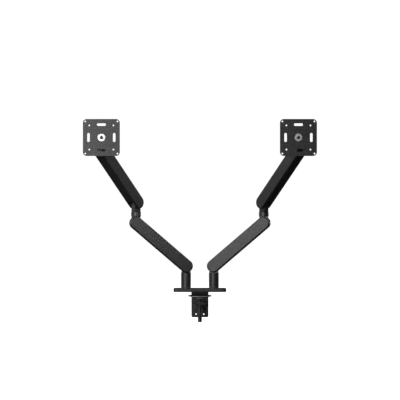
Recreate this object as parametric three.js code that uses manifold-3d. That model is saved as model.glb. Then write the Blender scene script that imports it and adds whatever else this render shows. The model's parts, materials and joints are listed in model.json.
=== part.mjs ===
// Twin desk-clamp monitor arm: one base with two posts, and on each post a lower arm, an elbow, an upper arm
// and a tilting, turning VESA head. Each arm is a channel with side covers, a gas spring and a parallel link.
// Millimetres, +Z up. The origin is the middle of the base's underside, on the desk top. The screens face -Y.
import * as THREE from 'three';
import { mergeVertices } from 'three/addons/utils/BufferGeometryUtils.js';
import Module from 'manifold-3d';

// ---------- driving dimensions ----------
const GAP = 0.3; // between touching pieces
const RUN = 0.4; // radial, round a turning pin

const BASE = { width: 170, depth: 90, corner: 10, top: 9.5, pad: 1.5 };
const POST = { x: 45, radius: 16, core: 10, coreTop: 53.5, spigot: 6, foot: 2, top: 61.5 };
const BRACKET = { width: 56, thick: 4, front: 40, bottom: -86.6, corner: 5, flangeFront: 6 };
const JAW = { width: 38, thick: 4, top: -38, front: -14, bottom: -66, boss: 11.5, bossDrop: 7 };
const BOLTS = { x: 12.5, upperZ: -56, lowerZ: -76.2, holeRadius: 3, shankRadius: 2.7, past: 1 };
const BUTTON = { radius: 5, height: 4, socket: 2.2, floor: 1.5 }; // the heads of the jaw bolts
const SCREW = { radius: 7, neck: 5.25, top: -19, bottom: -99.6, socketRadius: 3.5, socketDepth: 8 };
const DISC = { radius: 38.5, top: -12.3, rim: 3, hubRadius: 13, bottom: -23 };

const ARM = { half: 20, width: 35, wall: 2.5, web: 3, cover: 3.7, edge: 2.6, mouth: 22.5, mouthRise: 10 };
const PIN = { radius: 4, half: 13.2 };
const TONGUE = { reach: 13.5, half: 8.3, slot: 3.5, slotTop: 19 };
const LINK = { offset: 11, slant: 28, radius: 2.8, pin: 1.5, boss: 4.5, near: 8.6, thick: 2 };
const GAS = { rise: 12, radius: 7, start: 14, length: 132, bore: 50, rod: 3, rodStart: 112, eye: 3.5 };
const CABLE_COVER = { start: 40, endGap: 34, half: 8, thick: 2 };
const COLLAR = { radius: 16, lift: 21.5, height: 7, stub: 6, stubRise: 6 };
const YOKE = { collar: 7.2, pivotRise: 66.5 };
const HEAD = { lift: 28, collar: 5.6, radius: 15, height: 19.4, tiltReach: 29, knuckle: 9, lug: 7, bolt: 4 };
const TILT = { ear: 5, backing: 12, disc: 20, discThick: 6, stub: 7, stubLength: 7.5 };
const TILT_BOLT = { head: 6.8, nut: 7.2, socket: 2.8, height: 4, floor: 1.5 };
const VESA = { size: 115, corner: 12, thick: 3, boss: 22, face: 27.3, hole: 2.6 };

// the pose of the two arms, in degrees
const REST = { lowerYaw: 12, lowerRise: 40.3, upperYaw: 52, upperRise: 44 };
const LOWER_LENGTH = 215;
const UPPER_LENGTH = 228;
const LOWER_PIVOT_Z = 82.5;

// ---------- finishes ----------
const FINISH = {
  castBlack: { color: 0x1c1c1e, roughness: 0.55, metalness: 0.35 },
  coverBlack: { color: 0x232325, roughness: 0.6, metalness: 0.0 },
  steelBlack: { color: 0x18181a, roughness: 0.5, metalness: 0.6 },
  zincSteel: { color: 0x9a9ca0, roughness: 0.35, metalness: 0.9 },
  rubber: { color: 0x101010, roughness: 0.95, metalness: 0.0 },
};

// ---------- solids ----------
const wasm = await Module();
wasm.setup();

const radians = THREE.MathUtils.degToRad;

// A closed, indexed geometry with only positions, and no triangle that has closed up to a line.
function welded(geometry) {
  const bare = geometry.clone();
  bare.deleteAttribute('normal');
  bare.deleteAttribute('uv');
  const merged = mergeVertices(bare, 1e-3);
  const index = merged.index.array;
  const kept = [];
  for (let i = 0; i < index.length; i += 3) {
    const [a, b, c] = [index[i], index[i + 1], index[i + 2]];
    if (a !== b && b !== c && c !== a) kept.push(a, b, c);
  }
  merged.setIndex(kept);
  return merged;
}

function toSolid(geometry) {
  const merged = welded(geometry);
  const vertProperties = new Float32Array(merged.attributes.position.array);
  const triVerts = new Uint32Array(merged.index.array);
  return new wasm.Manifold(new wasm.Mesh({ numProp: 3, vertProperties, triVerts }));
}

function toGeometry(solid) {
  const mesh = solid.getMesh();
  const geometry = new THREE.BufferGeometry();
  geometry.setAttribute('position', new THREE.BufferAttribute(new Float32Array(mesh.vertProperties), 3));
  geometry.setIndex(Array.from(mesh.triVerts));
  geometry.computeVertexNormals();
  return geometry;
}

const join = (first, ...others) => others.reduce((sum, other) => sum.add(other), first);
const cut = (first, ...others) => others.reduce((rest, other) => rest.subtract(other), first);

function block(x, y, z) {
  const geometry = new THREE.BoxGeometry(x[1] - x[0], y[1] - y[0], z[1] - z[0]);
  geometry.translate((x[0] + x[1]) / 2, (y[0] + y[1]) / 2, (z[0] + z[1]) / 2);
  return toSolid(geometry);
}

// A round bar along one axis, from low to high, through the point at (or beside) the origin.
function bar(axis, radius, low, high, at = [0, 0, 0], sides = 16) {
  const geometry = new THREE.CylinderGeometry(radius, radius, high - low, sides);
  geometry.translate(0, (low + high) / 2, 0);
  if (axis === 'x') geometry.rotateZ(-Math.PI / 2);
  if (axis === 'z') geometry.rotateX(Math.PI / 2);
  geometry.translate(...at);
  return toSolid(geometry);
}

// A solid of revolution about Z, from [radius, z] points that start and end on the axis.
function turned(points, sides = 24) {
  const geometry = new THREE.LatheGeometry(points.map(([r, z]) => new THREE.Vector2(r, z)), sides);
  geometry.rotateX(Math.PI / 2);
  return toSolid(geometry);
}

// An outline drawn in X and Z, as a plate from y = low to y = high.
function plateXZ(outline, low, high, curveSegments = 8) {
  const geometry = new THREE.ExtrudeGeometry(outline, { depth: high - low, bevelEnabled: false, curveSegments });
  geometry.rotateX(Math.PI / 2);
  geometry.translate(0, high, 0);
  return toSolid(geometry);
}

// An outline drawn in X and Y, as a plate from z = low to z = high.
function plateXY(outline, low, high, curveSegments = 6) {
  const geometry = new THREE.ExtrudeGeometry(outline, { depth: high - low, bevelEnabled: false, curveSegments });
  geometry.translate(0, 0, low);
  return toSolid(geometry);
}

// A long outline with half-round ends of the given radius about x = 0 and x = length.
function longOutline(length, radius) {
  const outline = new THREE.Shape();
  outline.moveTo(0, -radius);
  outline.lineTo(length, -radius);
  outline.absarc(length, 0, radius, -Math.PI / 2, Math.PI / 2, false);
  outline.lineTo(0, radius);
  outline.absarc(0, 0, radius, Math.PI / 2, Math.PI * 1.5, false);
  return outline;
}

function roundedRectangle(width, height, radius) {
  const [x, y] = [width / 2, height / 2];
  const outline = new THREE.Shape();
  outline.moveTo(radius - x, -y);
  outline.lineTo(x - radius, -y);
  outline.absarc(x - radius, radius - y, radius, -Math.PI / 2, 0, false);
  outline.lineTo(x, y - radius);
  outline.absarc(x - radius, y - radius, radius, 0, Math.PI / 2, false);
  outline.lineTo(radius - x, y);
  outline.absarc(radius - x, y - radius, radius, Math.PI / 2, Math.PI, false);
  outline.lineTo(-x, radius - y);
  outline.absarc(radius - x, radius - y, radius, Math.PI, Math.PI * 1.5, false);
  return outline;
}

// ---------- scene graph ----------
const model = new THREE.Group();

function place(parent, name, solid, finish) {
  const mesh = new THREE.Mesh(toGeometry(solid), new THREE.MeshStandardMaterial(finish));
  mesh.name = name;
  parent.add(mesh);
}

function frameAt(parent, x, y, z, yaw = 0, rise = 0) {
  const group = new THREE.Group();
  group.position.set(x, y, z);
  group.rotation.set(0, -radians(rise), radians(yaw), 'ZYX');
  parent.add(group);
  return group;
}

// ---------- base and clamp ----------
// across X, the room that the bracket's flange takes in the base
const bracketSlot = [-BRACKET.width / 2 - GAP, BRACKET.width / 2 + GAP];

function basePlate() {
  const plate = plateXY(roundedRectangle(BASE.width, BASE.depth, BASE.corner), BASE.pad + GAP, BASE.top);
  const recess = block(
    bracketSlot,
    [BRACKET.flangeFront - GAP, BASE.depth],
    [0, BASE.pad + BRACKET.thick + GAP],
  );
  const holes = [-POST.x, POST.x].map((x) => bar('z', POST.spigot + GAP, 0, BASE.top + 1, [x, 0, 0]));
  return cut(plate, recess, ...holes);
}

function basePad() {
  const pad = plateXY(roundedRectangle(BASE.width - 2, BASE.depth - 2, BASE.corner - 1), 0, BASE.pad);
  return cut(pad, block(bracketSlot, [BRACKET.flangeFront - GAP, BASE.depth], [-1, BASE.pad + 1]));
}

function clampBracket() {
  const back = BRACKET.front + BRACKET.thick;
  const top = BASE.pad + BRACKET.thick;
  const half = BRACKET.width / 2;
  const outline = new THREE.Shape();
  outline.moveTo(-half, top);
  outline.lineTo(-half, BRACKET.bottom + BRACKET.corner);
  outline.absarc(BRACKET.corner - half, BRACKET.bottom + BRACKET.corner, BRACKET.corner, Math.PI, Math.PI * 1.5);
  outline.lineTo(half - BRACKET.corner, BRACKET.bottom);
  outline.absarc(half - BRACKET.corner, BRACKET.bottom + BRACKET.corner, BRACKET.corner, -Math.PI / 2, 0);
  outline.lineTo(half, top);
  const leg = plateXZ(outline, BRACKET.front, back, 4);
  const flange = block([-half, half], [BRACKET.flangeFront, back], [BASE.pad, top]);
  const holes = [];
  for (const x of [-BOLTS.x, BOLTS.x]) {
    for (const z of [BOLTS.upperZ, BOLTS.lowerZ]) {
      holes.push(bar('y', BOLTS.holeRadius, BRACKET.front - 1, back + 1, [x, 0, z], 12));
    }
  }
  return cut(join(leg, flange), ...holes);
}

function clampJaw() {
  const half = JAW.width / 2;
  const back = BRACKET.front - GAP;
  const shelf = block([-half, half], [JAW.front, back], [JAW.top - JAW.thick, JAW.top]);
  const leg = block([-half, half], [back - JAW.thick, back], [JAW.bottom, JAW.top - 1]);
  const boss = bar('z', JAW.boss, JAW.top - JAW.thick - JAW.bossDrop, JAW.top - 1);
  const thread = bar('z', SCREW.radius + GAP, JAW.bottom, JAW.top + 1);
  const holes = [-BOLTS.x, BOLTS.x].map((x) => (
    bar('y', BOLTS.holeRadius, back - JAW.thick - 1, back + 1, [x, 0, BOLTS.upperZ], 12)
  ));
  return cut(join(shelf, leg, boss), thread, ...holes);
}

// The head stands at the front of the jaw, and the shank goes through the jaw and the bracket behind it.
function jawBolt(x) {
  const headBack = BRACKET.front - GAP - JAW.thick - GAP;
  const shankEnd = BRACKET.front + BRACKET.thick + BOLTS.past;
  const head = bar('y', BUTTON.radius, headBack - BUTTON.height, headBack, [x, 0, BOLTS.upperZ]);
  const shank = bar('y', BOLTS.shankRadius, headBack - 1, shankEnd, [x, 0, BOLTS.upperZ], 12);
  const socketEnds = [headBack - BUTTON.height - 1, headBack - BUTTON.floor];
  const socket = bar('y', BUTTON.socket, ...socketEnds, [x, 0, BOLTS.upperZ], 6);
  return cut(join(head, shank), socket);
}

function clampScrew() {
  const shaft = turned([
    [0, SCREW.bottom],
    [SCREW.radius - 1, SCREW.bottom],
    [SCREW.radius, SCREW.bottom + 1],
    [SCREW.radius, DISC.bottom - 1],
    [SCREW.neck, DISC.bottom - 0.5],
    [SCREW.neck, SCREW.top],
    [0, SCREW.top],
  ], 16);
  const socket = bar('z', SCREW.socketRadius, SCREW.bottom - 1, SCREW.bottom + SCREW.socketDepth, [0, 0, 0], 6);
  return cut(shaft, socket);
}

function pressDisc() {
  const bore = SCREW.neck + RUN;
  return turned([
    [0, DISC.top],
    [DISC.radius, DISC.top],
    [DISC.radius, DISC.top - DISC.rim],
    [DISC.hubRadius, DISC.bottom + 2],
    [DISC.hubRadius, DISC.bottom],
    [bore, DISC.bottom],
    [bore, SCREW.top + RUN],
    [0, SCREW.top + RUN],
  ].reverse(), 32);
}

place(model, 'base_plate', basePlate(), FINISH.castBlack);
place(model, 'base_pad', basePad(), FINISH.rubber);
place(model, 'clamp_bracket', clampBracket(), FINISH.steelBlack);
place(model, 'clamp_jaw', clampJaw(), FINISH.steelBlack);
place(model, 'jaw_bolt_left', jawBolt(-BOLTS.x), FINISH.steelBlack);
place(model, 'jaw_bolt_right', jawBolt(BOLTS.x), FINISH.steelBlack);
place(model, 'clamp_screw', clampScrew(), FINISH.steelBlack);
place(model, 'press_disc', pressDisc(), FINISH.castBlack);

// ---------- posts ----------
function postPin() {
  const foot = BASE.top + GAP;
  return turned([
    [0, BASE.pad + 2 * GAP],
    [POST.spigot, BASE.pad + 2 * GAP],
    [POST.spigot, foot],
    [POST.radius, foot],
    [POST.radius, foot + POST.foot],
    [POST.core, foot + POST.foot],
    [POST.core, POST.coreTop],
    [0, POST.coreTop],
  ]);
}

// The parallel link's pivots are offset from the arm's own by the same step at both ends.
const linkStep = [LINK.offset * Math.sin(radians(LINK.slant)), -LINK.offset * Math.cos(radians(LINK.slant))];

// A trunnion on the +Y flank of a tongue, on which one end of the parallel link turns.
function trunnion(pivotZ) {
  const [x, z] = linkStep;
  return bar('y', LINK.pin, TONGUE.half - 1, LINK.near + LINK.thick, [x, 0, pivotZ + z], 12);
}

// An upright tongue with a half-round top about the pivot at height z, and the cross hole for the pivot pin.
function tongue(bottom, pivotZ) {
  const outline = new THREE.Shape();
  outline.moveTo(-TONGUE.reach, bottom);
  outline.lineTo(TONGUE.reach, bottom);
  outline.lineTo(TONGUE.reach, pivotZ);
  outline.absarc(0, pivotZ, TONGUE.reach, 0, Math.PI, false);
  return plateXZ(outline, -TONGUE.half, TONGUE.half, 8);
}

const pivotHole = (z) => bar('y', PIN.radius + RUN, -TONGUE.half - 1, TONGUE.half + 1, [0, 0, z]);

function postSleeve() {
  const bottom = BASE.top + POST.foot + 2 * GAP;
  const bore = POST.core + RUN;
  const sleeve = turned([
    [0, POST.coreTop + RUN],
    [bore, POST.coreTop + RUN],
    [bore, bottom],
    [POST.radius, bottom],
    [POST.radius, POST.top],
    [0, POST.top],
  ]);
  const upright = tongue(POST.top - 1, LOWER_PIVOT_Z);
  return cut(join(sleeve, upright, trunnion(LOWER_PIVOT_Z)), pivotHole(LOWER_PIVOT_Z));
}

// ---------- arms ----------
// All arm pieces lie along +X from the lower pivot at x = 0 to the upper pivot at x = length.
const innerHalf = ARM.width / 2 - ARM.cover - GAP; // to the covers' inner faces, so the channel's outer face
const channelInner = innerHalf - ARM.wall;

function armChannel(length, withCableSlot) {
  const outside = plateXZ(longOutline(length, ARM.half), -innerHalf, innerHalf);
  const inside = plateXZ(longOutline(length, ARM.half - ARM.web), -channelInner, channelInner);
  const lowerMouth = block(
    [-ARM.half - 1, ARM.mouth],
    [-channelInner, channelInner],
    [-ARM.half - 1, ARM.mouthRise],
  );
  const upperMouth = block(
    [length - ARM.mouth, length + ARM.half + 1],
    [-channelInner, channelInner],
    [-ARM.mouthRise, ARM.half + 1],
  );
  const holes = [0, length].map((x) => bar('y', PIN.radius + RUN, -ARM.width, ARM.width, [x, 0, 0]));
  const channel = cut(outside, inside, lowerMouth, upperMouth, ...holes);
  if (!withCableSlot) return channel;
  return cut(channel, block(
    [CABLE_COVER.start, length - CABLE_COVER.endGap],
    [-CABLE_COVER.half, CABLE_COVER.half],
    [-ARM.half - 1, -ARM.half + ARM.web + 1],
  ));
}

// A side cover for the +Y flank (side = 1) or the -Y flank (side = -1), its outer edge rounded off.
function sideCover(length, side) {
  const flat = ARM.cover - ARM.edge;
  const geometry = new THREE.ExtrudeGeometry(longOutline(length, ARM.half - ARM.edge), {
    depth: 2 * flat,
    bevelSize: ARM.edge,
    bevelThickness: ARM.edge,
    bevelSegments: 2,
    curveSegments: 8,
  });
  geometry.rotateX(Math.PI / 2);
  geometry.translate(0, flat, 0);
  const seam = ARM.width / 2 - ARM.cover;
  geometry.translate(0, side * seam, 0);
  const outer = side * (ARM.width + 1) / 2;
  const band = [Math.min(side * seam, outer), Math.max(side * seam, outer)];
  const around = ARM.half * 2;
  return toSolid(geometry).intersect(block([-around, length + around], band, [-around, around]));
}

function cableCover(length) {
  return block(
    [CABLE_COVER.start + GAP, length - CABLE_COVER.endGap - GAP],
    [-CABLE_COVER.half + GAP, CABLE_COVER.half - GAP],
    [-ARM.half, -ARM.half + CABLE_COVER.thick],
  );
}

const pivotPin = (x, z) => bar('y', PIN.radius, -PIN.half, PIN.half, [x, 0, z]);

// The gas spring's line runs above the arm's own, at the height of its anchor on the tongue at this rise.
const gasLine = (rise) => GAS.rise * Math.cos(radians(rise));

function gasCylinder(rise) {
  const end = GAS.start + GAS.length;
  const tube = bar('x', GAS.radius, GAS.start, end, [0, 0, gasLine(rise)]);
  return cut(tube, bar('x', GAS.rod + RUN, end - GAS.bore, end + 1, [0, 0, gasLine(rise)]));
}

function gasRod(length, rise) {
  const eyeX = length + GAS.rise * Math.sin(radians(rise));
  const z = gasLine(rise);
  const stem = bar('x', GAS.rod, GAS.rodStart, eyeX, [0, 0, z], 12);
  const eye = bar('y', GAS.eye, -GAS.rod, GAS.rod, [eyeX, 0, z], 12);
  const hole = bar('y', GAS.eye / 2, -GAS.rod - 1, GAS.rod + 1, [eyeX, 0, z], 8);
  return cut(join(stem, eye), hole);
}

function parallelLink(length) {
  const outline = longOutline(length, LINK.radius);
  const strip = plateXZ(outline, LINK.near, LINK.near + LINK.thick, 4);
  const holes = [0, length].map((x) => bar('y', LINK.pin + GAP, 0, TONGUE.half * 2, [x, 0, 0], 10));
  return cut(strip, ...holes);
}

// ---------- elbow and head bases ----------
// The forked lug that hangs from a round collar into the arm's upper mouth. z = 0 is the arm's upper pivot.
function collarBase(collarZ, collarHeight, radius) {
  const outline = new THREE.Shape();
  outline.moveTo(TONGUE.reach, collarZ + 1);
  outline.lineTo(-TONGUE.reach, collarZ + 1);
  outline.lineTo(-TONGUE.reach, 0);
  outline.absarc(0, 0, TONGUE.reach, Math.PI, Math.PI * 2, false);
  const [stepX, stepZ] = linkStep;
  const linkBoss = bar('y', LINK.boss, -TONGUE.half, TONGUE.half, [stepX, 0, stepZ], 12);
  const lug = join(plateXZ(outline, -TONGUE.half, TONGUE.half, 8), linkBoss);
  const fork = block([-20, 20], [-TONGUE.slot, TONGUE.slot], [-ARM.half, TONGUE.slotTop]);
  const collar = bar('z', radius, collarZ, collarZ + collarHeight, [0, 0, 0], 24);
  const stub = bar('z', COLLAR.stub, collarZ, collarZ + collarHeight + COLLAR.stubRise);
  return cut(join(cut(lug, fork), collar, stub, trunnion(0)), pivotHole(0));
}

const stubBore = (z) => bar('z', COLLAR.stub + RUN, z - 1, z + COLLAR.stubRise + RUN);

function elbowYoke() {
  const bottom = COLLAR.lift + COLLAR.height + GAP;
  const collar = bar('z', COLLAR.radius, bottom, bottom + YOKE.collar, [0, 0, 0], 24);
  const upright = tongue(bottom + 1, YOKE.pivotRise);
  const body = join(collar, upright, trunnion(YOKE.pivotRise));
  return cut(body, pivotHole(YOKE.pivotRise), stubBore(bottom));
}

// ---------- head ----------
const headTop = HEAD.lift + HEAD.collar + GAP; // the swivel's underside, above the arm's upper pivot
const tiltZ = headTop + HEAD.height / 2;

// The swivel points along +X: a drum on the pan axis, and a lug whose rounded nose carries the tilt bolt.
function headSwivel() {
  const drum = bar('z', HEAD.radius, headTop, headTop + HEAD.height, [0, 0, 0], 24);
  const outline = longOutline(HEAD.tiltReach, HEAD.knuckle);
  const lug = plateXZ(outline, -HEAD.lug, HEAD.lug, 8);
  const body = join(drum, lug.translate([0, 0, tiltZ]));
  const bolt = bar('y', HEAD.bolt + RUN, -HEAD.lug - 1, HEAD.lug + 1, [HEAD.tiltReach, 0, tiltZ]);
  return cut(body, bolt, stubBore(headTop));
}

// x = 0 and z = 0 are the tilt axis from here on, and the screen's side is +X.
function tiltBlock() {
  const outer = HEAD.lug + GAP + TILT.ear;
  const outline = new THREE.Shape();
  outline.moveTo(TILT.backing + 1, -HEAD.knuckle);
  outline.lineTo(TILT.backing + 1, HEAD.knuckle);
  outline.lineTo(0, HEAD.knuckle);
  outline.absarc(0, 0, HEAD.knuckle, Math.PI / 2, Math.PI * 1.5, false);
  const ears = plateXZ(outline, -outer, outer, 8);
  const throat = block([-20, TILT.backing - 1.5], [-HEAD.lug - GAP, HEAD.lug + GAP], [-20, 20]);
  const discEnd = TILT.backing + TILT.discThick;
  const disc = bar('x', TILT.disc, TILT.backing, discEnd, [0, 0, 0], 24);
  const stub = bar('x', TILT.stub, TILT.backing, discEnd + TILT.stubLength);
  const hole = bar('y', HEAD.bolt + RUN, -outer - 1, outer + 1);
  return cut(join(cut(ears, throat), disc, stub), hole);
}

function tiltBolt() {
  const outer = HEAD.lug + GAP + TILT.ear + GAP;
  const shank = bar('y', HEAD.bolt, -outer - 1, outer + 1);
  const head = bar('y', TILT_BOLT.head, outer, outer + TILT_BOLT.height);
  const nut = bar('y', TILT_BOLT.nut, -outer - TILT_BOLT.height, -outer, [0, 0, 0], 6);
  const socketEnds = [outer + TILT_BOLT.floor, outer + TILT_BOLT.height + 1];
  const socket = bar('y', TILT_BOLT.socket, ...socketEnds, [0, 0, 0], 6);
  return cut(join(shank, head, nut), socket);
}

function vesaPlate() {
  const back = TILT.backing + TILT.discThick + GAP;
  const shape = roundedRectangle(VESA.size, VESA.size, VESA.corner);
  const flat = plateXY(shape, VESA.face - VESA.thick, VESA.face).rotate([0, 90, 0]);
  const boss = bar('x', VESA.boss, back, VESA.face - 1, [0, 0, 0], 24);
  const holes = [bar('x', TILT.stub + RUN, back - 1, VESA.face + 1)];
  for (const spacing of [75, 100]) {
    for (const y of [-spacing / 2, spacing / 2]) {
      for (const z of [-spacing / 2, spacing / 2]) {
        holes.push(bar('x', VESA.hole, VESA.face - VESA.thick - 1, VESA.face + 1, [0, y, z], 8));
      }
    }
  }
  return cut(join(flat, boss), ...holes);
}

// ---------- the two arms in their rest pose ----------
function buildArm(parent, name, length, rise, frontSide, withCableSlot) {
  const arm = frameAt(parent, 0, 0, 0, 0, rise);
  place(arm, `${name}_arm_channel`, armChannel(length, withCableSlot), FINISH.castBlack);
  place(arm, `${name}_arm_front_cover`, sideCover(length, frontSide), FINISH.coverBlack);
  place(arm, `${name}_arm_back_cover`, sideCover(length, -frontSide), FINISH.coverBlack);
  place(arm, `${name}_gas_cylinder`, gasCylinder(rise), FINISH.zincSteel);
  place(arm, `${name}_gas_rod`, gasRod(length, rise), FINISH.zincSteel);
  place(arm, `${name}_pivot_pin`, pivotPin(0, 0), FINISH.zincSteel);
  place(arm, `${name}_end_pin`, pivotPin(length, 0), FINISH.zincSteel);
  const link = frameAt(parent, linkStep[0], 0, linkStep[1], 0, rise);
  place(link, `${name}_link`, parallelLink(length), FINISH.steelBlack);
  return arm;
}

function buildSide(side, direction) {
  const heading = (yaw) => (direction > 0 ? -yaw : 180 + yaw);
  const frontSide = -direction;
  const post = frameAt(model, direction * POST.x, 0, 0);
  place(post, `${side}_post_pin`, postPin(), FINISH.steelBlack);
  const turret = frameAt(post, 0, 0, 0, heading(REST.lowerYaw));
  place(turret, `${side}_post_sleeve`, postSleeve(), FINISH.castBlack);

  const lowerFoot = frameAt(turret, 0, 0, LOWER_PIVOT_Z);
  const lower = buildArm(lowerFoot, `${side}_lower`, LOWER_LENGTH, REST.lowerRise, frontSide, true);
  place(lower, `${side}_cable_cover`, cableCover(LOWER_LENGTH), FINISH.coverBlack);

  const reach = LOWER_LENGTH * Math.cos(radians(REST.lowerRise));
  const climb = LOWER_LENGTH * Math.sin(radians(REST.lowerRise));
  const elbow = frameAt(turret, reach, 0, LOWER_PIVOT_Z + climb);
  place(elbow, `${side}_elbow_base`, collarBase(COLLAR.lift, COLLAR.height, COLLAR.radius), FINISH.castBlack);
  const yoke = frameAt(elbow, 0, 0, 0, heading(REST.upperYaw) - heading(REST.lowerYaw));
  place(yoke, `${side}_elbow_yoke`, elbowYoke(), FINISH.castBlack);

  const upperFoot = frameAt(yoke, 0, 0, YOKE.pivotRise);
  buildArm(upperFoot, `${side}_upper`, UPPER_LENGTH, REST.upperRise, frontSide, false);

  const upperReach = UPPER_LENGTH * Math.cos(radians(REST.upperRise));
  const upperClimb = UPPER_LENGTH * Math.sin(radians(REST.upperRise));
  const head = frameAt(yoke, upperReach, 0, YOKE.pivotRise + upperClimb);
  place(head, `${side}_head_base`, collarBase(HEAD.lift, HEAD.collar, HEAD.radius), FINISH.castBlack);
  const swivel = frameAt(head, 0, 0, 0, heading(90) - heading(REST.upperYaw));
  place(swivel, `${side}_head_swivel`, headSwivel(), FINISH.castBlack);
  const tilt = frameAt(swivel, HEAD.tiltReach, 0, tiltZ);
  place(tilt, `${side}_tilt_block`, tiltBlock(), FINISH.castBlack);
  place(tilt, `${side}_tilt_bolt`, tiltBolt(), FINISH.steelBlack);
  place(tilt, `${side}_vesa_plate`, vesaPlate(), FINISH.steelBlack);
}

buildSide('left', -1);
buildSide('right', 1);

export default model;
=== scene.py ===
"""Twin gas-spring monitor arm on one desk clamp, laid out as a Blender add-on.

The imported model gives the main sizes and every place. Each operator below models one group of
pieces around it.
"""

import json
import math

import bpy
from mathutils import Matrix, Vector


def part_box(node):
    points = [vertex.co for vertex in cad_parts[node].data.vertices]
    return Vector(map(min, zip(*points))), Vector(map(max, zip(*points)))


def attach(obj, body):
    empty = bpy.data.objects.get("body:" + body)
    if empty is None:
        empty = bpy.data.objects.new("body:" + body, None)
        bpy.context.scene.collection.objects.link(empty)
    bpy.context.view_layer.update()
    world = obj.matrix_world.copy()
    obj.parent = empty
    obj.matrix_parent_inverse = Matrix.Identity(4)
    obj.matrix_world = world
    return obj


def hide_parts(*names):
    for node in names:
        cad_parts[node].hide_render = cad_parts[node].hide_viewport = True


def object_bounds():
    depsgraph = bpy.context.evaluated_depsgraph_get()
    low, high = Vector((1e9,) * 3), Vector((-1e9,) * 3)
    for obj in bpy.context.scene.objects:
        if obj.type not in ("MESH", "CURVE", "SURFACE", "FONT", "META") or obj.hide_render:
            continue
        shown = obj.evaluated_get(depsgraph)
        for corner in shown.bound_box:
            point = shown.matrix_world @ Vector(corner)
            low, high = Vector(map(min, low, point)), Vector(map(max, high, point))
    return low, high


bl_info = {
    "name": "Twin Monitor Arm",
    "version": (1, 0, 0),
    "blender": (4, 5, 0),
    "location": "View3D > Sidebar > Monitor Arm",
    "description": "Models a twin monitor arm piece by piece around its packed frame",
    "category": "Object",
}

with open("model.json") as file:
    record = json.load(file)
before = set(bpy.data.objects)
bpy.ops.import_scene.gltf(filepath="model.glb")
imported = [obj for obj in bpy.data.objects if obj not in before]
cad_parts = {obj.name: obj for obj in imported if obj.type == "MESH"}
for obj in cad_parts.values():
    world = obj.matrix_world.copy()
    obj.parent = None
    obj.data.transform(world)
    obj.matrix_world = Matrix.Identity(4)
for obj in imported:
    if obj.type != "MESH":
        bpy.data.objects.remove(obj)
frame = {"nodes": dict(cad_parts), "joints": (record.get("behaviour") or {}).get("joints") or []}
CAD_LOW, CAD_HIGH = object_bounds()

MM = 0.001
SIDES = {"left": -1, "right": 1}
QUARTER = math.pi / 2
WELD = 0.002 * MM
HAIR = 1e-6
JOINTS = {joint["name"]: joint for joint in frame["joints"]}
UP = Vector((0, 0, 1))


# ---------------------------------------------------------------- frames of the moving parts

def axes(origin, forward, across):
    """A placement whose X runs forward, Y across and Z up from them, at origin."""
    up = forward.cross(across)
    turn = Matrix((forward, across, up)).transposed()
    return Matrix.Translation(origin) @ turn.to_4x4()


def joint_point(name):
    return Vector(JOINTS[name]["pos_m"])


def across_of(lift_joint):
    """The sideways direction of an arm: a lift joint turns about its opposite."""
    return -Vector(JOINTS[lift_joint]["axis"]).normalized()


def upright(origin, lift_joint):
    """An upright placement that points the way the arm on this lift joint does."""
    across = across_of(lift_joint)
    return axes(origin, across.cross(UP), across)


def sloping(stage, side):
    """The placement of a lower or upper arm: X from its lower pivot to its upper one."""
    forward = Vector(JOINTS[f"{side}_{stage}_rod_stroke"]["axis"]).normalized()
    lift = f"{side}_{stage}_lift"
    return axes(joint_point(lift), forward, across_of(lift))


def post_place(side):
    axis_point = joint_point(f"{side}_post_yaw")
    foot = Vector((axis_point.x, axis_point.y, 0))
    return upright(foot, f"{side}_lower_lift")


def elbow_place(side):
    return upright(joint_point(f"{side}_elbow_level"), f"{side}_lower_lift")


def yoke_place(side):
    return upright(joint_point(f"{side}_elbow_level"), f"{side}_upper_lift")


def head_place(side):
    return upright(joint_point(f"{side}_head_level"), f"{side}_upper_lift")


def swivel_place(side):
    return upright(joint_point(f"{side}_head_level"), f"{side}_screen_tilt")


def screen_place(side):
    return upright(joint_point(f"{side}_screen_tilt"), f"{side}_screen_tilt")


def extent(node, place):
    """The lowest and highest corners of a CAD node, measured along a placement's own axes."""
    inverse = place.inverted()
    points = [inverse @ vertex.co for vertex in frame["nodes"][node].data.vertices]
    low = Vector([min(point[i] for point in points) for i in range(3)])
    high = Vector([max(point[i] for point in points) for i in range(3)])
    return low, high


# ---------------------------------------------------------------- modelling by hand, in code

def deselect():
    for item in list(bpy.context.selected_objects):
        item.select_set(False)


def take(piece):
    """Makes a piece the only selected and active one."""
    deselect()
    piece.select_set(True)
    bpy.context.view_layer.objects.active = piece
    return piece


def named(name):
    """Names the piece that was just added and fixes its size and place into its mesh."""
    piece = bpy.context.object
    piece.name = name
    piece.data.name = name
    bpy.ops.object.transform_apply(location=True, rotation=True, scale=True)
    return piece


def block(name, low, high):
    deselect()
    low, high = Vector(low), Vector(high)
    bpy.ops.mesh.primitive_cube_add(size=1, location=(low + high) / 2, scale=high - low)
    return named(name)


def bar(name, axis, radius, low, high, at=(0, 0, 0), sides=48):
    """A round bar from low to high along X, Y or Z, beside the point at."""
    turn = {"x": (0, QUARTER, 0), "y": (QUARTER, 0, 0), "z": (0, 0, 0)}[axis]
    centre = Vector(at)
    centre["xyz".index(axis)] += (low + high) / 2
    deselect()
    bpy.ops.mesh.primitive_cylinder_add(
        vertices=sides, radius=radius, depth=high - low, location=centre, rotation=turn
    )
    return named(name)


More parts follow.
